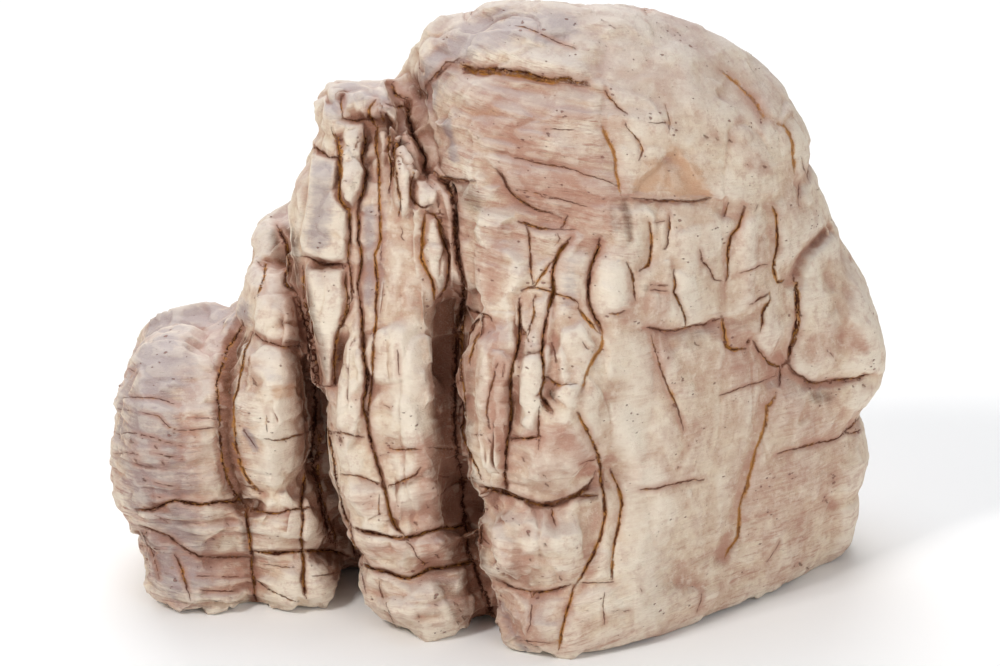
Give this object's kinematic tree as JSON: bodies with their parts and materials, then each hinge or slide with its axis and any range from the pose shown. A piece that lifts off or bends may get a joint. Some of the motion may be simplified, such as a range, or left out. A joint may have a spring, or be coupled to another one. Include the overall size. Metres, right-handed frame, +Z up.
{
  "type": "sandstone",
  "caption": "Free-standing natural sandstone: upright rounded columns and thin plates beside a broad dome, split by clefts and seams, cut flat where it rests.",
  "frame": {"origin": "centre of the stone's bounding box, at its flat underside", "axes": "+X along the longest way, from the low left block to the right shoulder, +Y away from the front, +Z up"},
  "size_m": [0.243, 0.15, 0.1862],
  "materials": {
    "sandstone": "dull pale cream and mauve-grey sandstone with pink-tan washes and rust-brown cracks"
  },
  "bodies": {
    "root": {"sandstone": "sandstone"}
  },
  "joints": []
}
